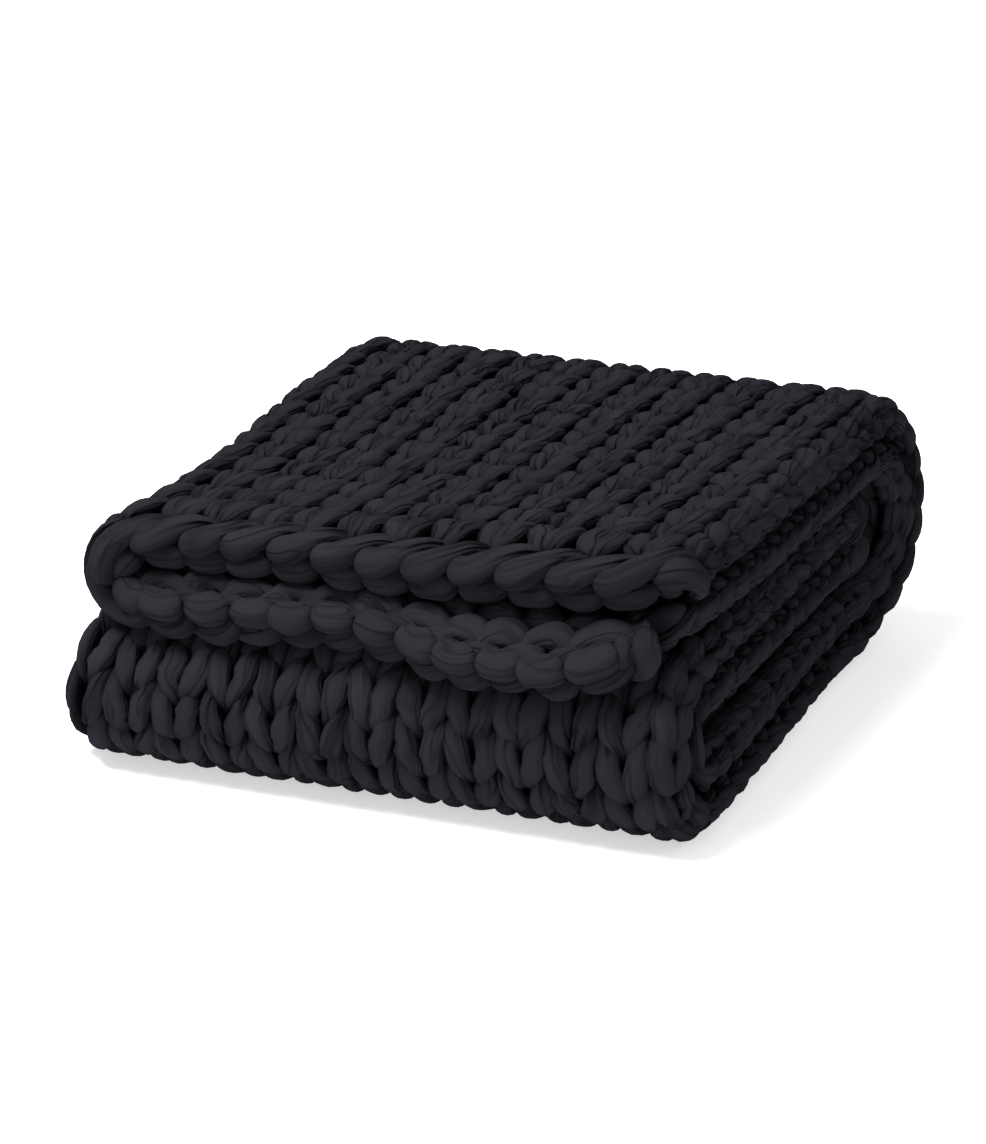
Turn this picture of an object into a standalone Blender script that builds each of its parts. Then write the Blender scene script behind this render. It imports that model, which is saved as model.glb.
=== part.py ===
"""Chunky hand-knit weighted blanket, folded for a shelf.

One knitted panel is folded in half along its length, with the fold on the left and both selvedges on
the right. The double strip is then folded in three: the top flap ends at the front, the strip turns down
round the back, runs forward underneath, turns up at the front and ends inside, in the middle.

Metres, +Z up. The front of the stack faces -Y. The origin is the bottom centre of the stack.
"""
import math

import bmesh
import bpy
import numpy as np

OBJECT_NAME = "knit_weighted_blanket"
NODE_NAME = "blanket"

# Folded stack
DEPTH = 0.640            # front of the lower fold to the outside of the back turn
LAYER = 0.0435           # pitch of the six layers where the stack is thickest
CLOTH = 0.0380           # thickness of one knitted layer, so that the layers stand a little apart
UPPER_LIP = math.radians(24)    # how far the flap's upper layer bends down over the lower fold
LOWER_LIP = math.radians(51)    # and its lower layer, whose free edge shows below the upper one's
CORNER_PULL = 0.020      # how far that layer's free corner is drawn in from the side
CORNER_FADE = 0.14       # length over which that fades out
INNER_END = 0.510        # where the strip's inner end stops, measured from the front

# Knit gauge
WALES = 13               # columns of stitches in each half of the panel
ROWS = 42                # rows of stitches along the strip
GROOVE = 0.0050          # depth of the grooves beside a stitch's legs
PINCH = 0.0030           # how far a leg thins where it meets the next stitch
LEG_SPREAD = 0.25        # from a wale's middle to the middle of either leg, in wales
LEG_SLANT = 0.55         # how many rows a stitch's legs climb from its point to its sides
EDGE_ROUND = 0.22        # how far the chain edges bulge past the last row, in rows
EDGE_THIN = 0.60         # share of the cloth's thickness left at that bulge
EDGE_THICK = 0.18        # how much thicker the cloth is at its chain edges
EDGE_FADE = 1.5          # rows over which that fades out
SCALLOP = 0.09           # depth of the scallops along the chain edges, in rows

# Mid-lines of the folds
STRIP = 2 * LAYER                      # thickness of the doubled strip
HALF_TURN = LAYER / 2                  # radius of the lengthwise fold
FRONT_RADIUS = STRIP / 2               # the strip's middle at the front turn
BACK_RADIUS = STRIP                    # the strip's middle at the back turn
LOW_Z = HALF_TURN + CLOTH / 2          # the underside rests at z = 0
MIDDLE_Z = LOW_Z + STRIP
HIGH_Z = MIDDLE_Z + STRIP
LIP_RADIUS = 3 * FRONT_RADIUS          # the strip's middle where the flap bends over the front turn
TURN_GAP = (LAYER - CLOTH) / 2         # the outermost layer's share of the gaps
FRONT_CENTRE = STRIP - TURN_GAP        # y of the front turn's centre
BACK_CENTRE = DEPTH - 1.5 * STRIP + TURN_GAP    # y of the back turn's centre

# The strip's runs, from its outer end to its inner end. The radius is 0 for a straight run.
# columns: name, length along the strip's middle, radius, mesh steps for each row of stitches
RUNS = (
    ("flap lip", LIP_RADIUS * LOWER_LIP, LIP_RADIUS, 2.0),
    ("top", BACK_CENTRE - FRONT_CENTRE, 0.0, 2.0),
    ("back turn", math.pi * BACK_RADIUS, BACK_RADIUS, 2.0),
    ("bottom", BACK_CENTRE - FRONT_CENTRE, 0.0, 1.0),
    ("front turn", math.pi * FRONT_RADIUS, FRONT_RADIUS, 2.0),
    ("middle", INNER_END - FRONT_CENTRE, 0.0, 0.5),
)
RUN_ENDS = np.concatenate([[0.0], np.cumsum([run[1] for run in RUNS])])

# Side edges of the strip, at the middle of the cloth
# columns: place along the strip in runs, x of the lengthwise fold, x of the selvedges
SIDES = (
    (0.0, -0.214, 0.254),    # free edge of the top flap
    (0.8, -0.242, 0.262),    # end of the lip
    (1.4, -0.224, 0.272),    # middle of the top
    (2.0, -0.229, 0.277),    # start of the back turn
    (2.5, -0.245, 0.286),    # its middle
    (3.1, -0.258, 0.262),    # bottom
    (4.0, -0.272, 0.272),    # start of the front turn
    (5.0, -0.252, 0.262),    # end of the front turn
    (6.0, -0.255, 0.262),    # inner end
)

# How far the flap's free edge is drawn back from those angles, along the strip's middle
# columns: place across the panel, from -1 at the outer selvedge by 0 at the fold to 1 at the inner one; length
FREE_EDGE = (
    (-1.00, 0.030),
    (-0.84, 0.002),
    (-0.60, 0.000),
    (-0.12, 0.014),
    (0.10, 0.034),
    (0.40, 0.034),
    (0.70, 0.000),
    (0.84, 0.000),
    (1.00, 0.038),
)

# The stack is pressed lower towards its front left corner
PRESSED = 0.14           # share of the height lost there
PRESSED_TO = 0.185       # height up to which the layers are pressed
PRESSED_X = (-0.26, 0.22)
PRESSED_Y = (0.05, 0.50)

# Widths across one half of the panel
FOLD_QUARTER = math.pi * HALF_TURN / 2     # from the fold's edge to where the cloth lies flat
FLAT_WIDTH = 0.500                         # the flat part at its mean width
HALF_WIDTH = FOLD_QUARTER + FLAT_WIDTH
FOLD_SHARE = FOLD_QUARTER / HALF_WIDTH
SHEAR_BAND = 0.12        # share of a half over which the two layers' rows are eased into each other

# Mesh steps across the faces that show no stitches
HIDDEN_FOLD_STEPS = 3
HIDDEN_FACE_STEPS = 9
LINING_FACE_STEPS = 6
SELVEDGE_STEPS = 3

YARN_COLOUR = (0.021, 0.022, 0.026, 1.0)
YARN_ROUGHNESS = 0.92


def smooth(t):
    """Ease from 0 to 1 as t goes from 0 to 1."""
    t = min(max(t, 0.0), 1.0)
    return t * t * (3.0 - 2.0 * t)


def eased(table, at):
    """Value of a table's last column, eased between its rows."""
    row = sum(at >= each[0] for each in table[1:-1])
    start, end = table[row], table[row + 1]
    return start[1] + (end[1] - start[1]) * smooth((at - start[0]) / (end[0] - start[0]))


def layer_knots(offset):
    """Lengths at the ends of the runs, along a layer at this offset outside the strip's middle."""
    stretched = [run[1] * (1.0 + (offset / run[2] if run[2] else 0.0)) for run in RUNS]
    return np.concatenate([[0.0], np.cumsum(stretched)])


OUTER_KNOTS = layer_knots(HALF_TURN)
INNER_KNOTS = layer_knots(-HALF_TURN)
OUTER_LATER = LIP_RADIUS * (LOWER_LIP - UPPER_LIP)    # length by which the upper layer ends sooner


def strip_length(row, across):
    """Length along the strip's middle at a row. Each layer spaces its rows evenly on its own length."""
    share = min(max(row / ROWS, 0.0), 1.0)
    start = eased(FREE_EDGE, across)
    outer_start = np.interp(start + OUTER_LATER, RUN_ENDS, OUTER_KNOTS)
    inner_start = np.interp(start, RUN_ENDS, INNER_KNOTS)
    outer = np.interp(outer_start + share * (OUTER_KNOTS[-1] - outer_start), OUTER_KNOTS, RUN_ENDS)
    inner = np.interp(inner_start + share * (INNER_KNOTS[-1] - inner_start), INNER_KNOTS, RUN_ENDS)
    blend = smooth(0.5 + across / (2.0 * SHEAR_BAND))
    past_end = (row / ROWS - share) * RUN_ENDS[-1]
    return outer + (inner - outer) * blend + past_end


def run_at(length):
    """Number of the run that holds this length, and the length past the run's start."""
    run = int(np.searchsorted(RUN_ENDS, length, side="right")) - 1
    run = min(max(run, 0), len(RUNS) - 1)
    return run, length - RUN_ENDS[run]


def strip_middle(length):
    """The strip's middle at this length: y, z, and its outward normal's y and z."""
    run, past = run_at(length)
    centre_z = LOW_Z + FRONT_RADIUS
    if run == 0:
        angle = LOWER_LIP - past / LIP_RADIUS
        reach, rise = -math.sin(angle), math.cos(angle)
        return FRONT_CENTRE + LIP_RADIUS * reach, centre_z + LIP_RADIUS * rise, reach, rise
    if run == 1:
        return FRONT_CENTRE + past, HIGH_Z, 0.0, 1.0
    if run == 2:
        reach, rise = math.sin(past / BACK_RADIUS), math.cos(past / BACK_RADIUS)
        return BACK_CENTRE + BACK_RADIUS * reach, MIDDLE_Z + BACK_RADIUS * rise, reach, rise
    if run == 3:
        return BACK_CENTRE - past, LOW_Z, 0.0, -1.0
    if run == 4:
        reach, rise = -math.sin(past / FRONT_RADIUS), -math.cos(past / FRONT_RADIUS)
        return FRONT_CENTRE + FRONT_RADIUS * reach, centre_z + FRONT_RADIUS * rise, reach, rise
    return FRONT_CENTRE + past, MIDDLE_Z, 0.0, 1.0


def side_edges(length):
    """x of the lengthwise fold and of the selvedges at this length."""
    run, past = run_at(length)
    here = run + past / RUNS[run][1]
    row = sum(here >= side[0] for side in SIDES[1:-1])
    start, end = SIDES[row], SIDES[row + 1]
    ease = smooth((here - start[0]) / (end[0] - start[0]))
    return start[1] + (end[1] - start[1]) * ease, start[2] + (end[2] - start[2]) * ease


def press(x, y, z):
    """Lower a height towards the stack's front left corner."""
    from_left = smooth((x - PRESSED_X[0]) / (PRESSED_X[1] - PRESSED_X[0]))
    from_front = smooth((y - PRESSED_Y[0]) / (PRESSED_Y[1] - PRESSED_Y[0]))
    return z - min(z, PRESSED_TO) * PRESSED * (1.0 - from_left) * (1.0 - from_front)


def place(across, row, out):
    """A point of the folded blanket.

    across: -1 at the outer layer's selvedge, 0 at the lengthwise fold, 1 at the inner layer's selvedge.
            Past 1 either way it runs on into the rounded selvedge.
    row:    0 at the top flap's free edge, ROWS at the strip's inner end.
    out:    height above the middle of the cloth, towards its right side.
    """
    length = strip_length(row, across)
    y, z, normal_y, normal_z = strip_middle(length)
    left, right = side_edges(length)
    travel = abs(across) * HALF_WIDTH
    angle = min(travel, FOLD_QUARTER) / HALF_TURN
    if travel < FOLD_QUARTER:
        x = left + HALF_TURN * (1.0 - math.cos(angle))
    else:
        x = left + HALF_TURN + (travel - FOLD_QUARTER) / FLAT_WIDTH * (right - left - HALF_TURN)
    x -= out * math.cos(angle)
    x -= CORNER_PULL * max(across, 0.0) * (1.0 - smooth(length / CORNER_FADE))
    lean = math.copysign(math.sin(angle), -across)
    y += normal_y * lean * (HALF_TURN + out)
    z += normal_z * lean * (HALF_TURN + out)
    return x, y, press(x, y, z)


def section_columns():
    """The section's closed loop, as dicts in order round it, from the outer layer's selvedge.

    face 1 is the cloth's right side and -1 its back. leg is 0 at a wale's middle, 1 at its sides and
    between them on a leg's crest. stitched columns carry the relief.
    """
    columns = []
    for wale in range(WALES):
        for step, leg in ((0.0, 1.0), (0.5 - LEG_SPREAD, 0.5), (0.5, 0.0), (0.5 + LEG_SPREAD, 0.5)):
            columns.append({"across": (wale + step) / WALES - 1.0, "face": 1.0, "leg": leg})
    for step in range(HIDDEN_FOLD_STEPS):
        columns.append({"across": FOLD_SHARE * step / HIDDEN_FOLD_STEPS, "face": 1.0, "leg": None})
    for step in range(HIDDEN_FACE_STEPS + 1):
        across = FOLD_SHARE + (1.0 - FOLD_SHARE) * step / HIDDEN_FACE_STEPS
        columns.append({"across": across, "face": 1.0, "leg": None})
    columns += selvedge_columns(1.0)
    for step in range(LINING_FACE_STEPS + 1):
        across = 1.0 + (FOLD_SHARE - 1.0) * step / LINING_FACE_STEPS
        columns.append({"across": across, "face": -1.0, "leg": None})
    for across in (FOLD_SHARE / 2, 0.0, -FOLD_SHARE / 2):
        columns.append({"across": across, "face": -1.0, "leg": None})
    for step in range(LINING_FACE_STEPS + 1):
        across = -FOLD_SHARE - (1.0 - FOLD_SHARE) * step / LINING_FACE_STEPS
        columns.append({"across": across, "face": -1.0, "leg": None})
    columns += reversed(selvedge_columns(-1.0))
    return columns


def selvedge_columns(side):
    """The half circle that rounds one selvedge, from the right side of the cloth to its back."""
    columns = []
    for step in range(1, SELVEDGE_STEPS):
        angle = math.pi * step / SELVEDGE_STEPS
        across = side * (1.0 + CLOTH / 2 * math.sin(angle) / HALF_WIDTH)
        columns.append({"across": across, "face": math.cos(angle), "leg": None})
    return columns


def row_steps():
    """Rows at which the section is placed, each with its share of a stitch's swell: 0 pinched, 1 full."""
    first = np.interp(OUTER_LATER, RUN_ENDS, OUTER_KNOTS)
    ends = (OUTER_KNOTS - first) / (OUTER_KNOTS[-1] - first) * ROWS
    rows = [0.0]
    while rows[-1] < ROWS - 0.01:
        run = int(np.searchsorted(ends, rows[-1] + 0.01, side="right")) - 1
        rows.append(min(rows[-1] + 1.0 / RUNS[run][3], float(ROWS)))
    return rows


def relief(column, row):
    """Height of the cloth's right side over its middle, with a stitch's legs swelling between rows."""
    from_edge = min(max(row, 0.0), max(ROWS - row, 0.0))
    edge = 1.0 - smooth(from_edge / EDGE_FADE)
    crest = CLOTH / 2 * (1.0 + EDGE_THICK * edge)
    if column["leg"] is None:
        return (crest if column["face"] > 0.0 else CLOTH / 2) * column["face"]
    under = strip_middle(strip_length(row, column["across"]))[3]
    raised = 1.0 - smooth(-under * 4.0 - 2.6)
    height = crest
    if column["leg"] != 0.5:
        height -= GROOVE * raised
    if row == math.floor(row):
        height -= PINCH * raised
    return height


def section_points(columns, row, thin=1.0, bulge=0.0):
    """The section placed at a row. At the chain edges it is thinned and bulges past the row."""
    points = []
    window = smooth(row) * smooth(ROWS - row)
    for column in columns:
        slant = 0.0
        scallop = 0.0
        if column["leg"] is not None:
            slant = LEG_SLANT * (column["leg"] - 0.5) * window
            scallop = SCALLOP * (1.0 - 2.0 * column["leg"])
        shift = slant + bulge * (1.0 + scallop / EDGE_ROUND)
        points.append(place(column["across"], row + shift, relief(column, row) * thin))
    return points


def cap(mesh, ring, columns):
    """Close an end of the tube by lacing its right side to its back, from one selvedge to the other."""
    turn = next(i for i, column in enumerate(columns) if column["across"] > 1.0)
    right_side = list(range(0, turn))
    back = list(range(len(columns) - 1, turn - 1, -1))
    i = j = 0
    while i < len(right_side) - 1 or j < len(back) - 1:
        next_right = columns[right_side[min(i + 1, len(right_side) - 1)]]["across"]
        next_back = columns[back[min(j + 1, len(back) - 1)]]["across"]
        step_right = j == len(back) - 1 or (i < len(right_side) - 1 and next_right <= next_back)
        corners = [ring[right_side[i]], ring[back[j]]]
        if step_right:
            i += 1
            corners.append(ring[right_side[i]])
        else:
            j += 1
            corners.append(ring[back[j]])
        mesh.faces.new(corners)


def blanket_mesh():
    """Loft the section along the strip, from the flap's free edge to the inner end, and cap both ends."""
    columns = section_columns()
    rows = row_steps()
    rings = [section_points(columns, rows[0], EDGE_THIN, -EDGE_ROUND)]
    rings += [section_points(columns, row) for row in rows]
    rings.append(section_points(columns, rows[-1], EDGE_THIN, EDGE_ROUND))

    mesh = bmesh.new()
    loops = [[mesh.verts.new(point) for point in ring] for ring in rings]
    for here, there in zip(loops, loops[1:]):
        for i in range(len(columns)):
            j = (i + 1) % len(columns)
            mesh.faces.new((here[i], here[j], there[j], there[i]))
    cap(mesh, loops[0], columns)
    cap(mesh, loops[-1], columns)
    bmesh.ops.triangulate(mesh, faces=mesh.faces[:])
    bmesh.ops.recalc_face_normals(mesh, faces=mesh.faces[:])

    low = np.min([vertex.co for vertex in mesh.verts], axis=0)
    high = np.max([vertex.co for vertex in mesh.verts], axis=0)
    centre = (low + high) / 2
    bmesh.ops.translate(mesh, verts=mesh.verts[:], vec=(-centre[0], -centre[1], -low[2]))
    data = bpy.data.meshes.new(NODE_NAME)
    mesh.to_mesh(data)
    mesh.free()
    data.shade_smooth()
    return data


def yarn_material():
    """Matt charcoal jersey."""
    material = bpy.data.materials.new("jersey_yarn")
    material.use_nodes = True
    shader = material.node_tree.nodes["Principled BSDF"]
    shader.inputs["Base Color"].default_value = YARN_COLOUR
    shader.inputs["Roughness"].default_value = YARN_ROUGHNESS
    shader.inputs["Metallic"].default_value = 0.0
    return material


def main():
    for item in list(bpy.data.objects):
        bpy.data.objects.remove(item, do_unlink=True)
    collection = bpy.data.collections.new(OBJECT_NAME)
    bpy.context.scene.collection.children.link(collection)
    blanket = bpy.data.objects.new(NODE_NAME, blanket_mesh())
    blanket.data.materials.append(yarn_material())
    collection.objects.link(blanket)


main()
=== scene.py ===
"""Looks of the folded knit blanket: every stitch is a tube of stuffed jersey yarn on the solid's own folds.

The panel is worked out flat, in wales (columns of stitches), rows and height over the middle of the cloth.
place() carries it onto the folds, with the same sizes as the solid. Metres, +Z up.
"""
import math

import bpy
import numpy as np
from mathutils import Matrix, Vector


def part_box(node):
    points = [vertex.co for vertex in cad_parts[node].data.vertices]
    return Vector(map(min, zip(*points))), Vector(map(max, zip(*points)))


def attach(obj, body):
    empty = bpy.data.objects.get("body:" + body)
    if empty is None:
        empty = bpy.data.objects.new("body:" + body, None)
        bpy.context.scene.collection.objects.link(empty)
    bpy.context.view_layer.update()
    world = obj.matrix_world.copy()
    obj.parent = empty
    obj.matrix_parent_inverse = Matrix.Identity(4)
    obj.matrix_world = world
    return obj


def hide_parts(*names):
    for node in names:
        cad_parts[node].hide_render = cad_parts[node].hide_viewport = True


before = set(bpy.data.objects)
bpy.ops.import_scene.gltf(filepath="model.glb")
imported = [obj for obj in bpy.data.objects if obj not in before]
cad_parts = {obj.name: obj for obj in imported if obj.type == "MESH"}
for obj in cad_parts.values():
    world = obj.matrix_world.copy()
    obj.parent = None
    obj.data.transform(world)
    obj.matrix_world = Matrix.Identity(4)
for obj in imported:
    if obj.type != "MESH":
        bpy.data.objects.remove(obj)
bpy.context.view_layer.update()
solid_low, solid_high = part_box("blanket")

# ---------------------------------------------------------------- the solid's own sizes

DEPTH = 0.640            # front of the lower fold to the outside of the back turn
LAYER = 0.0435           # pitch of the six layers
CLOTH = 0.0380           # thickness of one knitted layer
UPPER_LIP = math.radians(24)
LOWER_LIP = math.radians(51)
CORNER_PULL = 0.020      # how far the flap's inner layer is drawn in at its corner
CORNER_FADE = 0.14       # and the length over which that fades
INNER_END = 0.510        # depth at which the strip ends inside the roll
WALES = 13               # columns of stitches in each half of the panel

STRIP = 2 * LAYER
HALF_TURN = LAYER / 2
FRONT_RADIUS = STRIP / 2
BACK_RADIUS = STRIP
LOW_Z = HALF_TURN + CLOTH / 2
MIDDLE_Z = LOW_Z + STRIP
HIGH_Z = MIDDLE_Z + STRIP
LIP_RADIUS = 3 * FRONT_RADIUS
FRONT_CENTRE_Z = LOW_Z + FRONT_RADIUS
TURN_GAP = (LAYER - CLOTH) / 2
FRONT_CENTRE = STRIP - TURN_GAP
BACK_CENTRE = DEPTH - 1.5 * STRIP + TURN_GAP

# The strip's runs: length along its middle, and radius, which is 0 for a straight run
RUNS = (
    (LIP_RADIUS * LOWER_LIP, LIP_RADIUS),           # flap lip
    (BACK_CENTRE - FRONT_CENTRE, 0.0),              # top
    (math.pi * BACK_RADIUS, BACK_RADIUS),           # back turn
    (BACK_CENTRE - FRONT_CENTRE, 0.0),              # bottom
    (math.pi * FRONT_RADIUS, FRONT_RADIUS),         # front turn
    (INNER_END - FRONT_CENTRE, 0.0),                # middle
)
RUN_LENGTHS = np.array([length for length, radius in RUNS])
RUN_ENDS = np.concatenate([[0.0], np.cumsum(RUN_LENGTHS)])

# Place along the strip in runs, x of the lengthwise fold, x of the selvedges
SIDES = (
    (0.0, -0.214, 0.254),
    (0.8, -0.242, 0.262),
    (1.4, -0.224, 0.272),
    (2.0, -0.229, 0.277),
    (2.5, -0.245, 0.286),
    (3.1, -0.258, 0.262),
    (4.0, -0.272, 0.272),
    (5.0, -0.252, 0.262),
    (6.0, -0.255, 0.262),
)
WIDEST_FOLD = min(side[1] for side in SIDES)

# How far the flap's free edge is drawn back: place across the panel, length
FREE_EDGE = (
    (-1.00, 0.030),
    (-0.84, 0.002),
    (-0.60, 0.000),
    (-0.12, 0.014),
    (0.10, 0.034),
    (0.40, 0.034),
    (0.70, 0.000),
    (0.84, 0.000),
    (1.00, 0.038),
)

# The stack is pressed lower at its front left corner: fully before these stretches and not at all past them
PRESSED = 0.14           # share of the height that is lost
PRESSED_TO = 0.185       # height above which no more is lost
PRESSED_X = (-0.26, 0.22)
PRESSED_Y = (0.05, 0.50)

FOLD_QUARTER = math.pi * HALF_TURN / 2  # length of cloth in a quarter turn of the lengthwise fold
FLAT_WIDTH = 0.500
HALF_WIDTH = FOLD_QUARTER + FLAT_WIDTH
SHEAR_BAND = 0.12        # share of a half, on both sides of the fold, in which rows shift from layer to layer

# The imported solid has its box's centre at x = y = 0, so its fold edge and back turn give the shift
SHIFT = np.array([
    solid_low.x - (WIDEST_FOLD - CLOTH / 2),
    solid_high.y - DEPTH,
    solid_low.z,
])

# ---------------------------------------------------------------- yarn and stitches

YARN = 0.0120            # radius of the stuffed jersey yarn at its fullest
FLATNESS = 0.74          # thickness of the flattened yarn as a share of its width
ROWS = 52                # rows of the knit along the strip, the chain edges' share included
WALE = HALF_WIDTH / WALES
ROW = RUN_ENDS[-1] / ROWS
FIRST_ROW = 0.48         # where the first row of stitches starts, in rows from the free edge
KNIT_ROWS = 51           # rows of loops between the two chain edges
FACE_LIMIT = CLOTH / 2 + 0.0030         # how far the yarn may stand from the cloth's middle
FACE_SOFT = 0.0030       # depth over which it is pressed flat there
FLOOR_SOFT = 0.0030      # and where it lies on the floor

# The outermost wale at a selvedge curls over the edge, towards the back of the cloth
CURL_RADIUS = 0.008
CURL_TIGHTEST = 0.004    # the curl inside this radius tightens ever more slowly
CURL_ANGLE = math.radians(105)
CURL_REACH = 0.010       # from the solid's edge line back to where the curl starts

# How far the knit strays, in wales and rows: a stitch along its wale and a link both ways, a stitch sideways,
# and each point by itself. How much the yarn's thickness varies from stitch to stitch and point to point.
WANDER = 0.050
SIDE_WANDER = 0.020
POINT_WANDER = 0.025
STITCH_UNEVEN = 0.06
POINT_UNEVEN = 0.05

TIGHT_BELOW = 0.98       # yarn thinner than this share of its fullest counts as squeezed
TIGHT_SPAN = 0.36        # and fully so once it is thinner by this much more
LENGTH_OFFSET = 5.0      # each tube's pattern starts anywhere within this many metres

# Lobes round the yarn: how many, and their height as a share of its radius
LOBES = ((2, 0.035), (3, 0.03), (4, 0.025))
LOBE_SHIFT = 2.0         # how far their phase strays either way along the yarn, in radians

# Left half of a stitch, from the yarn between two wales to the head of the loop at the wale's middle.
# columns: wales from the wale's left side, rows above the stitch's start, height over the cloth's middle
# as a share of half its thickness, the yarn's radius as a share of its fullest, and how far the flattened
# yarn's face leans away from the wale's middle
STITCH = (
    (0.00, 0.04, -0.50, 1.10, 0.00),
    (0.24, -0.04, -0.50, 0.96, 0.00),
    (0.41, -0.12, -0.34, 0.60, 0.00),
    (0.46, -0.06, 0.00, 0.44, 0.00),
    (0.44, 0.10, 0.30, 0.54, 0.00),
    (0.395, 0.28, 0.50, 0.70, 0.08),
    (0.345, 0.48, 0.58, 0.85, 0.12),
    (0.30, 0.70, 0.62, 0.94, 0.12),
    (0.265, 0.92, 0.60, 0.91, 0.12),
    (0.235, 1.14, 0.54, 0.82, 0.12),
    (0.20, 1.35, 0.41, 0.69, 0.08),
    (0.15, 1.53, 0.16, 0.54, 0.00),
    (0.12, 1.66, -0.20, 0.50, 0.00),
    (0.24, 1.72, -0.50, 0.84, 0.00),
    (0.50, 1.70, -0.54, 1.08, 0.00),
)

# One leg of each stitch stands a little over the other: height and radius that are added to the first and
# taken from the second
LEG_HEIGHT = 0.01
LEG_RADIUS = -0.01

# The legs on the front turn stand further apart and face straight out. FRONT_ROWS is where that starts, is
# full, starts to fade and ends. They move apart over the first 1 / FRONT_GROWTH of the height.
FRONT_ROWS = (32.5, 34.5, 40.0, 42.0)
FRONT_APART = 0.050
FRONT_GROWTH = 4.0

# The egg-shaped bulge where a row turns round the selvedge, up to where its first stitch starts
SELVEDGE_LOOP = (
    (0.10, 0.98, 0.20, 0.50, 0.00),
    (0.00, 0.80, 0.46, 0.74, 0.00),
    (-0.10, 0.46, 0.20, 0.88, 0.00),
    (-0.10, 0.16, -0.28, 0.86, 0.00),
    (0.00, 0.02, -0.54, 0.84, 0.00),
)

# The three strands of one link of the chain along a free edge: a slanted one on the right side of the cloth,
# a rounded block on its back, and the bump behind that block. All tuck into the cloth at their ends.
# columns: as above, with wales from the link's wale, and rows inwards from the free edge that are stretched
# by CHAIN_DEPTH
CHAIN_STRAND = (
    (-0.62, 0.70, 0.05, 0.40, 0.00),
    (-0.46, 0.58, 0.46, 0.50, 0.00),
    (-0.18, 0.42, 0.72, 0.68, 0.00),
    (0.10, 0.26, 0.74, 0.86, 0.00),
    (0.38, 0.11, 0.62, 1.02, 0.00),
    (0.66, 0.02, 0.42, 1.14, 0.00),
    (0.90, 0.08, 0.24, 1.10, 0.00),
    (1.00, 0.36, 0.00, 0.78, 0.00),
)
CHAIN_BLOCK = (
    (0.08, 0.24, -0.40, 0.24, 0.00),
    (0.13, 0.20, -0.44, 0.86, 0.00),
    (0.28, 0.12, -0.52, 1.18, 0.00),
    (0.50, 0.08, -0.54, 1.22, 0.00),
    (0.74, 0.12, -0.52, 1.18, 0.00),
    (0.89, 0.20, -0.44, 0.86, 0.00),
    (0.94, 0.24, -0.40, 0.24, 0.00),
)
CHAIN_BUMP = (
    (-0.16, 0.34, -0.24, 0.62, 0.00),
    (0.00, 0.54, -0.44, 0.86, 0.00),
    (0.26, 0.72, -0.56, 1.06, 0.00),
    (0.56, 0.76, -0.58, 1.10, 0.00),
    (0.84, 0.64, -0.48, 0.94, 0.00),
    (1.00, 0.46, -0.20, 0.62, 0.00),
)

# Each strand of a link, and how much higher it is on the inner layer, where the blocks, on the cloth's back,
# stand out over the slanted strands
CHAIN_LINK = ((CHAIN_STRAND, 0.16), (CHAIN_BLOCK, -0.06), (CHAIN_BUMP, -0.06))
CHAIN_DEPTH = 1.2
CHAIN_LIMIT = CLOTH / 2 + 0.0040
CHAIN_FLATNESS = 0.9
# the chain's share of the painted shade between the yarns
CHAIN_HOLLOW = 0.3

# Painted shade: yarn is darker near the cloth's middle, where it lies low between its neighbours: fully up to
# this share of its limit, and fading over the next one
MIDDLE_DARK = 0.30
MIDDLE_FADE = 0.60

# Painted shade also darkens the side that faces back into the cloth, by this share. That is full where the
# cosine to the cloth's nearer face is below BACK_DARK, and fades over BACK_FADE more.
BACK_PAINTED_SHADE = 0.8
BACK_DARK = -0.15
BACK_FADE = 0.75
ONE_FACED = 0.3          # share of half the cloth's thickness past which yarn counts to one face alone

# ---------------------------------------------------------------- how finely each piece is sampled

KNIT_SIDES = 14
CHAIN_SIDES = 16
CHAIN_STEPS = 20
SELVEDGE_STEPS = 30
PROBE_HEIGHT = 0.001     # steps to either side that measure the cloth's normal
PROBE_WALE = 0.02        # and its sideways direction, in wales

# How densely the yarn is sampled: on the right side of the cloth, on the back of the outer layer, and on the
# back of the inner one. The inner layer's first rows show below the flap's edge.
FACE_CLOSE = 1.6
BACK_CLOSE = 0.5
INNER_STEPS, INNER_CLOSE = 10, 1.6
SHOWN_ROWS = 3
SHOWN_STEPS, SHOWN_CLOSE = 34, 2.4
FACE_GROWTH = 6.0        # it changes over 1 / FACE_GROWTH of the cloth's thickness, just below the middle
MEASURES = 4             # steps from point to point in which a row's length is measured

# The panel in strips, each a piece: name, first row, the row after the last, steps to a stitch
STRIPS = (
    ("knit_flap", 0, 7, 34),
    ("knit_top", 7, 14, 34),
    ("knit_back", 14, 23, 30),
    ("knit_bottom", 23, 32, 14),
    ("knit_front", 32, 42, 34),
    ("knit_inner", 42, KNIT_ROWS, 10),
)
KNIT_SEED = 11

# The chain edges: name, row of the free edge, and which way rows lead inwards
EDGES = (("chain_flap", 0.0, 1.0), ("chain_inner", float(ROWS), -1.0))
CHAIN_SEED = 31

# ---------------------------------------------------------------- jersey

JERSEY = (0.0152, 0.0155, 0.0192)

# Scales of the noises, twice across the yarn and once along it
FOLD_NOISE = (110.0, 110.0, 16.0)
CREASE_NOISE = (64.0, 64.0, 10.0)
TONE_NOISE = (35.0, 35.0, 9.0)
FOLD_HEIGHT = 0.0090
CREASE_DEPTH = 0.0025
CREASE_SHARPNESS = 16.0  # the sharper, the narrower a crease is
CREASE_SOFTNESS = 0.5    # how gently it ends at its sides
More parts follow.
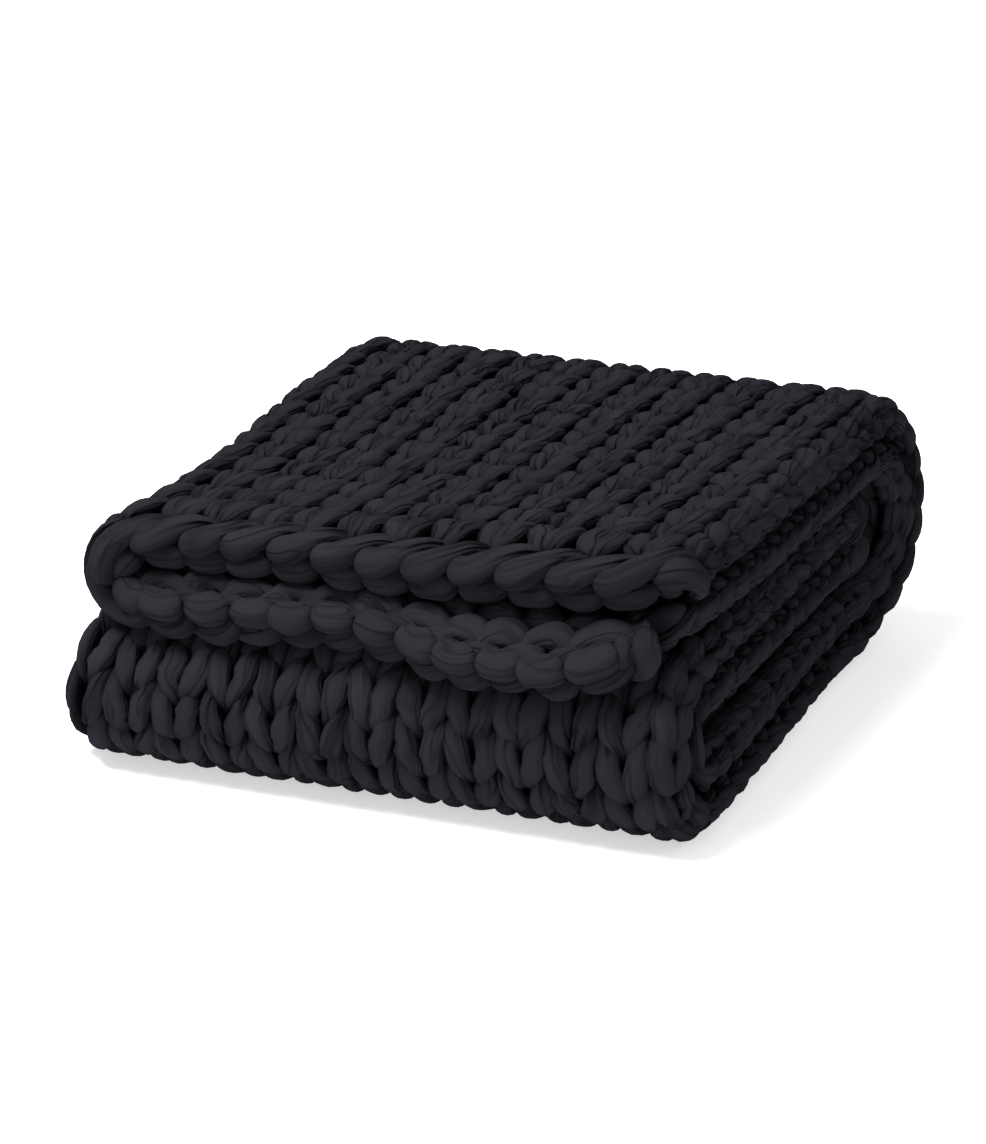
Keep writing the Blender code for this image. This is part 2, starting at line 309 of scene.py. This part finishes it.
# how much painted shade darkens the colour in the creases
CREASE_PAINTED_SHADE = 0.70
SLACK_SHARE = 0.4        # how much of the folds and creases is left where the yarn isn't squeezed
RIB_PITCH = 0.0016
RIB_HEIGHT = 0.00003
TONE_SPREAD = 0.5        # how much the colour varies
# how much the painted shade between the yarns darkens the colour
PAINTED_SHADE_DARK = 0.75

# ---------------------------------------------------------------- view and light

VIEW_YAW = math.radians(22.5)
VIEW_PITCH = math.radians(19.3)
VIEW_DISTANCE = 3.3
VIEW_TARGET = Vector((-0.0057, -0.0100, 0.1214))
LENS = 117.4             # on a 36 mm sensor along the image's long side
SIGHT = 100.0            # how far the camera sees

FLOOR_SIZE = 90.0        # so large that its far edge stays out of low views
FLOOR_COLOUR = (0.9, 0.9, 0.9, 1.0)
FLOOR_GLOW = 0.55        # keeps it white in the shade too
WHITE = (1.0, 1.0, 1.0, 1.0)
SKY = 0.46
LIT = Vector((0.0, 0.0, 0.1))           # what the lights face

# Soft lights: name, place, width of the square, watts
LIGHTS = (
    ("key", (-0.85, -1.1, 2.9), 1.3, 170.0),
    ("fill", (0.4, -2.6, 1.4), 1.6, 5.0),
    ("side", (2.6, 0.2, 1.5), 1.4, 7.0),
)

# ---------------------------------------------------------------- from flat to folded

def smooth(t):
    """Ease from 0 to 1 as t goes from 0 to 1."""
    t = np.clip(t, 0.0, 1.0)
    return t * t * (3.0 - 2.0 * t)


def layer_knots(offset):
    """Lengths at the ends of the runs, along a layer at this offset outside the strip's middle."""
    stretched = [length * (1.0 + (offset / radius if radius else 0.0)) for length, radius in RUNS]
    return np.concatenate([[0.0], np.cumsum(stretched)])


OUTER_KNOTS = layer_knots(HALF_TURN)
INNER_KNOTS = layer_knots(-HALF_TURN)
OUTER_LATER = LIP_RADIUS * (LOWER_LIP - UPPER_LIP)


def eased(table, at):
    """Values of a table's other columns, eased between its rows."""
    table = np.array(table)
    row = np.clip(np.searchsorted(table[:, 0], at, side="right") - 1, 0, len(table) - 2)
    start, end = table[row], table[row + 1]
    ease = smooth((at - start[:, 0]) / (end[:, 0] - start[:, 0]))
    return [start[:, i] + (end[:, i] - start[:, i]) * ease for i in range(1, table.shape[1])]


def strip_length(row, across):
    """Length along the strip's middle at a row. Each layer spaces its rows evenly on its own length."""
    share = np.clip(row / ROWS, 0.0, 1.0)
    start = eased(FREE_EDGE, across)[0]
    outer_start = np.interp(start + OUTER_LATER, RUN_ENDS, OUTER_KNOTS)
    inner_start = np.interp(start, RUN_ENDS, INNER_KNOTS)
    outer = np.interp(outer_start + share * (OUTER_KNOTS[-1] - outer_start), OUTER_KNOTS, RUN_ENDS)
    inner = np.interp(inner_start + share * (INNER_KNOTS[-1] - inner_start), INNER_KNOTS, RUN_ENDS)
    blend = smooth(0.5 + across / (2.0 * SHEAR_BAND))
    past_end = (row / ROWS - share) * RUN_ENDS[-1]
    return outer + (inner - outer) * blend + past_end


def run_at(length):
    """Number of the run that holds each length, and the length past the run's start."""
    run = np.clip(np.searchsorted(RUN_ENDS, length, side="right") - 1, 0, len(RUNS) - 1)
    return run, length - RUN_ENDS[run]


def strip_middle(length):
    """The strip's middle at these lengths: y, z, and its outward normal's y and z."""
    run, past = run_at(length)
    zero, one = np.zeros_like(past), np.ones_like(past)
    lip = LOWER_LIP - past / LIP_RADIUS
    back = past / BACK_RADIUS
    front = past / FRONT_RADIUS

    def turn(centre_y, centre_z, radius, normal_y, normal_z):
        return centre_y + radius * normal_y, centre_z + radius * normal_z, normal_y, normal_z

    routes = (
        turn(FRONT_CENTRE, FRONT_CENTRE_Z, LIP_RADIUS, -np.sin(lip), np.cos(lip)),
        (FRONT_CENTRE + past, HIGH_Z * one, zero, one),
        turn(BACK_CENTRE, MIDDLE_Z, BACK_RADIUS, np.sin(back), np.cos(back)),
        (BACK_CENTRE - past, LOW_Z * one, zero, -one),
        turn(FRONT_CENTRE, FRONT_CENTRE_Z, FRONT_RADIUS, -np.sin(front), -np.cos(front)),
        (FRONT_CENTRE + past, MIDDLE_Z * one, zero, one),
    )
    return [np.choose(run, [route[i] for route in routes]) for i in range(4)]


def side_edges(length):
    """x of the lengthwise fold and of the selvedges at these lengths."""
    run, past = run_at(length)
    return eased(SIDES, run + past / RUN_LENGTHS[run])


def press(x, y, z):
    """Lower heights towards the stack's front left corner."""
    from_left = smooth((x - PRESSED_X[0]) / (PRESSED_X[1] - PRESSED_X[0]))
    from_front = smooth((y - PRESSED_Y[0]) / (PRESSED_Y[1] - PRESSED_Y[0]))
    return z - np.minimum(z, PRESSED_TO) * PRESSED * (1.0 - from_left) * (1.0 - from_front)


def place(wale, row, out):
    """Points of the folded blanket.

    wale: 0 at the outer layer's selvedge, WALES at the lengthwise fold, 2 WALES at the inner layer's.
    row:  0 at the top flap's free edge, ROWS at the strip's inner end.
    out:  height above the middle of the cloth, towards its right side.
    """
    across = wale / WALES - 1.0
    length = strip_length(row, across)
    y, z, normal_y, normal_z = strip_middle(length)
    left, right = side_edges(length)
    curl = CURL_ANGLE * np.maximum(1.0 - WALES * (1.0 - np.abs(across)), 0.0)
    radius = CURL_RADIUS + out
    tighter = CURL_TIGHTEST * np.exp(np.minimum(radius / CURL_TIGHTEST - 1.0, 0.0))
    radius = np.where(radius > CURL_TIGHTEST, radius, tighter)
    edge_x = np.where(curl > 0.0, radius * np.sin(curl), 0.0)
    out = np.where(curl > 0.0, radius * np.cos(curl) - CURL_RADIUS, out)
    travel = np.minimum(np.abs(across) * WALES / (WALES - 1), 1.0) * (HALF_WIDTH - CURL_REACH)
    angle = np.minimum(travel, FOLD_QUARTER) / HALF_TURN
    flat = left + HALF_TURN + (travel - FOLD_QUARTER) / FLAT_WIDTH * (right - left - HALF_TURN)
    x = np.where(travel < FOLD_QUARTER, left + HALF_TURN * (1.0 - np.cos(angle)), flat)
    x = x - out * np.cos(angle) + edge_x
    x = x - CORNER_PULL * np.clip(across, 0.0, None) * (1.0 - smooth(length / CORNER_FADE))
    lean = np.copysign(np.sin(angle), -across)
    y = y + normal_y * lean * (HALF_TURN + out)
    z = z + normal_z * lean * (HALF_TURN + out)
    return np.stack([x, y, press(x, y, z)], axis=1) + SHIFT


# ---------------------------------------------------------------- tubes of yarn

def through(points, at):
    """Values of a smooth curve through these points, at places counted in points."""
    last = len(points) - 1
    start = np.clip(np.floor(at).astype(int), 0, last - 1)
    t = (at - start)[:, None]
    before, here, there, after = (points[np.clip(start + step, 0, last)] for step in (-1, 0, 1, 2))
    return 0.5 * (
        2.0 * here
        + (there - before) * t
        + (2.0 * before - 5.0 * here + 4.0 * there - after) * t ** 2
        + (3.0 * (here - there) + after - before) * t ** 3
    )


def unit(vectors):
    """These vectors at length 1."""
    return vectors / np.maximum(np.linalg.norm(vectors, axis=-1, keepdims=True), 1e-9)


def lengths_along(points):
    """Length of the line through these points up to each of them."""
    return np.concatenate([[0.0], np.cumsum(np.linalg.norm(np.diff(points, axis=0), axis=1))])


def placed(line, height):
    """Folded places of a flat line's points, with the cloth's normal and its sideways direction there."""
    wale, row = line[:, 0], line[:, 1]
    normals = unit(place(wale, row, height + PROBE_HEIGHT) - place(wale, row, height - PROBE_HEIGHT))
    sideways = unit(place(wale + PROBE_WALE, row, height) - place(wale - PROBE_WALE, row, height))
    return place(wale, row, height), normals, sideways


def carried_frames(centres, start_side):
    """Two directions across the line at each centre, carried along it without twist."""
    tangents = unit(np.gradient(centres, axis=0))
    side = start_side - tangents[0] * np.dot(start_side, tangents[0])
    sides = [side / np.linalg.norm(side)]
    for tangent in tangents[1:]:
        side = sides[-1] - tangent * np.dot(sides[-1], tangent)
        sides.append(side / np.linalg.norm(side))
    across = np.array(sides)
    return across, np.cross(tangents, across)


def soft_limit(height, limit, soft):
    """Heights pressed flat towards the limit over the last bit."""
    excess = np.maximum(height - (limit - soft), 0.0)
    return np.where(excess > 0.0, limit - soft + soft * (1.0 - np.exp(-excess / soft)), height)


def painted_hollow_shade(height, offsets, rise, pressed, limit):
    """Painted shade at each point of the yarn, 0 to 1: near the cloth's middle, low between its neighbours,
    and on its side that faces back into the cloth.
    """
    middle = 1.0 - smooth((np.abs(pressed) / limit - MIDDLE_DARK) / MIDDLE_FADE)
    side_of_cloth = np.clip(height / (ONE_FACED * CLOTH / 2), -1.0, 1.0)[:, None]
    exposed = side_of_cloth * rise / np.linalg.norm(offsets, axis=2)
    return np.maximum(middle, BACK_PAINTED_SHADE * (1.0 - smooth((exposed - BACK_DARK) / BACK_FADE)))


class Yarn:
    """Vertices and faces of the tubes that make one piece."""

    def __init__(self, seed):
        self.random = np.random.default_rng(seed)
        self.points, self.faces, self.along, self.tight, self.painted_shade = [], [], [], [], []
        self.count = 0

    def lobes(self, flat, at, turn, tight):
        """Shallow lobes round the yarn that shift along it and are higher where it is squeezed."""
        wave = np.zeros((len(at), len(turn)))
        for number, share in LOBES:
            phase = through(self.random.uniform(-LOBE_SHIFT, LOBE_SHIFT, (len(flat), 1)), at)
            wave += share * (0.5 + tight[:, None]) * np.cos(number * turn + phase)
        return wave

    def add_faces(self, rings, sides):
        """Faces of a tube of this many rings, closed at both ends."""
        grid = self.count + np.arange(rings * sides).reshape(rings, sides)
        ahead = np.roll(grid, -1, axis=1)
        quads = np.stack([grid[:-1], ahead[:-1], ahead[1:], grid[1:]], axis=-1).reshape(-1, 4)
        self.faces += quads.tolist()
        self.faces += [grid[0][::-1].tolist(), grid[-1].tolist()]
        self.count += rings * sides

    def add(self, flat, at, sides, limit=FACE_LIMIT, flatness=FLATNESS, hollow=1.0):
        """One tube through flat points (a table's columns), sampled at these places.

        limit:    how far it may stand from the cloth's middle.
        flatness: its thickness as a share of its width.
        hollow:   how much painted shade darkens it where it lies low between its neighbours.
        """
        line = through(flat, at)
        height = line[:, 2] * CLOTH / 2
        centres, normals, sideways = placed(line, height)
        across, upward = carried_frames(centres, normals[0])
        travelled = lengths_along(centres) + self.random.uniform(0.0, LENGTH_OFFSET)
        radius = YARN * line[:, 3]
        tight = smooth((TIGHT_BELOW - line[:, 3]) / TIGHT_SPAN)

        turn = np.linspace(0.0, 2.0 * math.pi, sides, endpoint=False)
        ring = radius[:, None] * (1.0 + self.lobes(flat, at, turn, tight))
        offsets = (
            (ring * np.cos(turn))[..., None] * across[:, None, :]
            + (ring * np.sin(turn))[..., None] * upward[:, None, :]
        )
        facing = unit(normals - line[:, 4:5] * sideways)
        thick = np.einsum("rsk,rk->rs", offsets, facing)
        offsets = offsets - (1.0 - flatness) * thick[..., None] * facing[:, None, :]
        rise = np.einsum("rsk,rk->rs", offsets, normals)
        free = height[:, None] + rise
        pressed = np.sign(free) * soft_limit(np.abs(free), limit, FACE_SOFT)
        points = centres[:, None, :] + offsets + (pressed - free)[..., None] * normals[:, None, :]
        points[..., 2] = -soft_limit(-points[..., 2], 0.0, FLOOR_SOFT)

        along = (
            radius[:, None] * np.cos(turn),
            radius[:, None] * np.sin(turn),
            np.repeat(travelled[:, None], sides, axis=1),
        )
        self.add_faces(len(at), sides)
        self.points.append(points.reshape(-1, 3))
        self.along.append(np.stack(along, axis=-1).reshape(-1, 3))
        self.tight.append(np.repeat(tight, sides))
        # painted shade where the yarn lies low between its neighbours and where it faces back into the cloth
        self.painted_shade.append(hollow * painted_hollow_shade(height, offsets, rise, pressed, limit).ravel())

    def build(self, name, material):
        """The piece as a mesh of stuffed yarn, hung on the root body in place of the solid, which it hides.
        """
        mesh = bpy.data.meshes.new(name)
        mesh.from_pydata(np.concatenate(self.points).tolist(), [], self.faces)
        along = mesh.attributes.new("yarn", "FLOAT_VECTOR", "POINT")
        along.data.foreach_set("vector", np.concatenate(self.along).astype(np.float32).ravel())
        for attribute, values in (("tight", self.tight), ("painted_shade", self.painted_shade)):
            layer = mesh.attributes.new(attribute, "FLOAT", "POINT")
            layer.data.foreach_set("value", np.concatenate(values).astype(np.float32))
        mesh.shade_smooth()
        mesh.materials.append(material)
        piece = bpy.data.objects.new(name, mesh)
        bpy.context.scene.collection.objects.link(piece)
        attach(piece, "root")
        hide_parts("blanket")


# ---------------------------------------------------------------- rows of stitches and chain edges

def row_of_loops(random, row):
    """Flat points of one row's yarn, from the outer selvedge round the fold to the inner selvedge."""
    front = np.interp(row, FRONT_ROWS, (0.0, 1.0, 1.0, 0.0))
    half = np.array(STITCH)
    half[:, 0] -= front * FRONT_APART * smooth(half[:, 2] * FRONT_GROWTH)
    mirror = (-1.0, 1.0, 1.0, 1.0, -1.0)
    raised = np.array((0.0, 0.0, LEG_HEIGHT, LEG_RADIUS, 0.0)) * (half[:, 2:3] > 0.0)
    stitch = np.concatenate([half + raised, (half - raised)[-2:0:-1] * mirror + (1.0, 0.0, 0.0, 0.0, 0.0)])
    wander = through(random.normal(0.0, WANDER, (2 * WALES + 1, 2)), np.arange(2 * WALES) + 0.5)
    points = [np.array(SELVEDGE_LOOP)]
    for wale in range(2 * WALES):
        points.append(stitch + (wale, 0.0, 0.0, 0.0, 0.0))
        points[-1][:, 0] += random.normal(0.0, SIDE_WANDER)
        points[-1][:, 1] += wander[wale, 0]
        points[-1][:, 3] *= 1.0 + random.normal(0.0, STITCH_UNEVEN)
    points.append((np.array(SELVEDGE_LOOP) * mirror)[::-1] + (2 * WALES, 0.0, 0.0, 0.0, 0.0))
    points = np.concatenate(points)
    points[:, 4] *= 1.0 - front
    points[:, :2] += random.normal(0.0, POINT_WANDER, (len(points), 2))
    points[:, 3] *= 1.0 + random.normal(0.0, POINT_UNEVEN, len(points))
    points[:, 1] += row
    return points


def sample_places(points, first, last, steps, back_close):
    """Places along a row's points from one wale to another, with this many steps to a stitch."""
    per_stitch = 2 * (len(STITCH) - 1)
    before = len(SELVEDGE_LOOP)
    start = 0.0 if first == 0 else before + first * per_stitch
    end = len(points) - 1.0 if last == 2 * WALES else before + last * per_stitch
    fine = np.linspace(start, end, int((end - start) * MEASURES) + 1)
    line = through(points, fine)[:, :3] * (WALE, ROW, CLOTH / 2)
    close = back_close + (FACE_CLOSE - back_close) * smooth(line[1:, 2] / CLOTH * FACE_GROWTH + 1.0)
    travelled = np.concatenate([[0.0], np.cumsum(np.linalg.norm(np.diff(line, axis=0), axis=1) * close)])
    count = int(round((end - start) / per_stitch * steps)) + 1
    return np.interp(np.linspace(0.0, travelled[-1], count), travelled, fine)


def row_places(points, number, steps):
    """Places along a whole row, close together at the selvedges and where its stitches show."""
    inner = (SHOWN_STEPS, SHOWN_CLOSE) if number < SHOWN_ROWS else (INNER_STEPS, INNER_CLOSE)
    parts = (
        (0, 2, SELVEDGE_STEPS, BACK_CLOSE),
        (2, WALES + 2, steps, BACK_CLOSE),
        (WALES + 2, 2 * WALES - 2, *inner),
        (2 * WALES - 2, 2 * WALES, SELVEDGE_STEPS, BACK_CLOSE),
    )
    places = [sample_places(points, *part) for part in parts]
    return np.concatenate([places[0]] + [part[1:] for part in places[1:]])


def chain_edge(yarn, edge_row, inwards):
    """Links along a free edge, one to a wale."""
    for wale in range(2 * WALES):
        inner = 1.0 if wale >= WALES else 0.0
        for strand, rise in CHAIN_LINK:
            points = np.array(strand)
            points[:, 0] += wale + yarn.random.normal(0.0, WANDER)
            points[:, 1] = edge_row + inwards * (points[:, 1] * CHAIN_DEPTH + yarn.random.normal(0.0, WANDER))
            points[:, 2] += inner * rise
            points[:, 3] *= 1.0 + yarn.random.normal(0.0, POINT_UNEVEN, len(points))
            places = np.linspace(0.0, len(points) - 1.0, CHAIN_STEPS)
            yarn.add(points, places, CHAIN_SIDES, CHAIN_LIMIT, CHAIN_FLATNESS, CHAIN_HOLLOW)


# ---------------------------------------------------------------- material

def jersey_material():
    """Charcoal jersey: creases that run along the yarn, a fine rib across it, slightly uneven colour, and
    painted shade in the creases and between the yarns.
    """
    material = bpy.data.materials.new("jersey")
    material.use_nodes = True
    nodes, links = material.node_tree.nodes, material.node_tree.links
    shader = nodes["Principled BSDF"]
    shader.inputs["Roughness"].default_value = 0.85
    shader.inputs["Specular IOR Level"].default_value = 0.0

    def attribute(name):
        node = nodes.new("ShaderNodeAttribute")
        node.attribute_name = name
        return node

    def noise(scale, detail):
        mapping = nodes.new("ShaderNodeMapping")
        mapping.inputs["Scale"].default_value = scale
        links.new(yarn.outputs["Vector"], mapping.inputs["Vector"])
        texture = nodes.new("ShaderNodeTexNoise")
        texture.inputs["Scale"].default_value = 1.0
        texture.inputs["Detail"].default_value = detail
        links.new(mapping.outputs["Vector"], texture.inputs["Vector"])
        return texture.outputs["Fac"]

    def math_node(operation, *values):
        node = nodes.new("ShaderNodeMath")
        node.operation = operation
        for socket, value in zip(node.inputs, values):
            if isinstance(value, (int, float)):
                socket.default_value = value
            else:
                links.new(value, socket)
        return node.outputs[0]

    yarn = attribute("yarn")
    tight = attribute("tight").outputs["Fac"]
    painted_shade = attribute("painted_shade").outputs["Fac"]
    axes = nodes.new("ShaderNodeSeparateXYZ")
    links.new(yarn.outputs["Vector"], axes.inputs[0])

    # folds along the yarn, and creases where a noise crosses its middle, deepest where it is squeezed
    folds = noise(FOLD_NOISE, 2.0)
    from_middle = math_node("ABSOLUTE", math_node("SUBTRACT", noise(CREASE_NOISE, 1.0), 0.5))
    beside = math_node("MULTIPLY", from_middle, CREASE_SHARPNESS)
    beside = math_node("SMOOTH_MIN", beside, 1.0, CREASE_SOFTNESS)
    amount = math_node("MULTIPLY_ADD", tight, 1.0 - SLACK_SHARE, SLACK_SHARE)
    crease = math_node("MULTIPLY", math_node("SUBTRACT", 1.0, beside), amount)
    rib = math_node("SINE", math_node("MULTIPLY", axes.outputs["Z"], 2.0 * math.pi / RIB_PITCH))

    height = math_node("MULTIPLY", math_node("MULTIPLY", folds, amount), FOLD_HEIGHT)
    height = math_node("MULTIPLY_ADD", crease, -CREASE_DEPTH, height)
    height = math_node("MULTIPLY_ADD", rib, RIB_HEIGHT, height)
    bump = nodes.new("ShaderNodeBump")
    bump.inputs["Strength"].default_value = 1.0
    bump.inputs["Distance"].default_value = 1.0
    links.new(height, bump.inputs["Height"])
    links.new(bump.outputs["Normal"], shader.inputs["Normal"])

    shade = math_node("MULTIPLY_ADD", noise(TONE_NOISE, 2.0), TONE_SPREAD, 1.0 - TONE_SPREAD / 2)
    # painted shade in the creases
    shade = math_node("MULTIPLY_ADD", crease, -CREASE_PAINTED_SHADE, shade)
    # painted shade between the yarns
    shade = math_node("MULTIPLY", shade, math_node("MULTIPLY_ADD", painted_shade, -PAINTED_SHADE_DARK, 1.0))
    colour = nodes.new("ShaderNodeVectorMath")
    colour.operation = "SCALE"
    colour.inputs[0].default_value = JERSEY
    links.new(shade, colour.inputs["Scale"])
    links.new(colour.outputs[0], shader.inputs["Base Color"])
    return material


# ---------------------------------------------------------------- pieces

def knit_pieces(material):
    """The panel in strips of rows, and a chain along each free edge."""
    for seed, (name, first, last, steps) in enumerate(STRIPS, KNIT_SEED):
        yarn = Yarn(seed)
        for number in range(first, last):
            points = row_of_loops(yarn.random, FIRST_ROW + number)
            yarn.add(points, row_places(points, number, steps), KNIT_SIDES)
        yarn.build(name, material)
    for seed, (name, row, inwards) in enumerate(EDGES, CHAIN_SEED):
        yarn = Yarn(seed)
        chain_edge(yarn, row, inwards)
        yarn.build(name, material)


# ---------------------------------------------------------------- stage

def add_camera():
    """Camera at the photograph's angle."""
    back = Vector((
        math.sin(VIEW_YAW) * math.cos(VIEW_PITCH),
        -math.cos(VIEW_YAW) * math.cos(VIEW_PITCH),
        math.sin(VIEW_PITCH),
    ))
    camera = bpy.data.objects.new("camera", bpy.data.cameras.new("camera"))
    camera.data.lens = LENS
    camera.data.clip_end = SIGHT
    camera.location = VIEW_TARGET + back * VIEW_DISTANCE
    camera.rotation_euler = (-back).to_track_quat("-Z", "Y").to_euler()
    bpy.context.scene.collection.objects.link(camera)
    bpy.context.scene.camera = camera


def add_floor():
    """White floor that glows a little."""
    bpy.ops.mesh.primitive_plane_add(size=FLOOR_SIZE)
    floor = bpy.context.object
    floor.name = "floor"
    white = bpy.data.materials.new("floor")
    white.use_nodes = True
    shader = white.node_tree.nodes["Principled BSDF"]
    shader.inputs["Base Color"].default_value = FLOOR_COLOUR
    shader.inputs["Roughness"].default_value = 0.9
    shader.inputs["Emission Color"].default_value = WHITE
    shader.inputs["Emission Strength"].default_value = FLOOR_GLOW
    floor.data.materials.append(white)


def add_lights():
    """An even white sky and soft square lights that face the blanket."""
    world = bpy.data.worlds.new("studio")
    world.use_nodes = True
    sky = world.node_tree.nodes["Background"]
    sky.inputs["Color"].default_value = WHITE
    sky.inputs["Strength"].default_value = SKY
    bpy.context.scene.world = world
    for name, location, size, power in LIGHTS:
        light = bpy.data.lights.new(name, "AREA")
        light.size = size
        light.energy = power
        lamp = bpy.data.objects.new(name, light)
        lamp.location = location
        lamp.rotation_euler = (Vector(location) - LIT).to_track_quat("Z", "Y").to_euler()
        bpy.context.scene.collection.objects.link(lamp)


add_camera()
add_floor()
add_lights()
bpy.context.scene.view_settings.view_transform = "Standard"
knit_pieces(jersey_material())
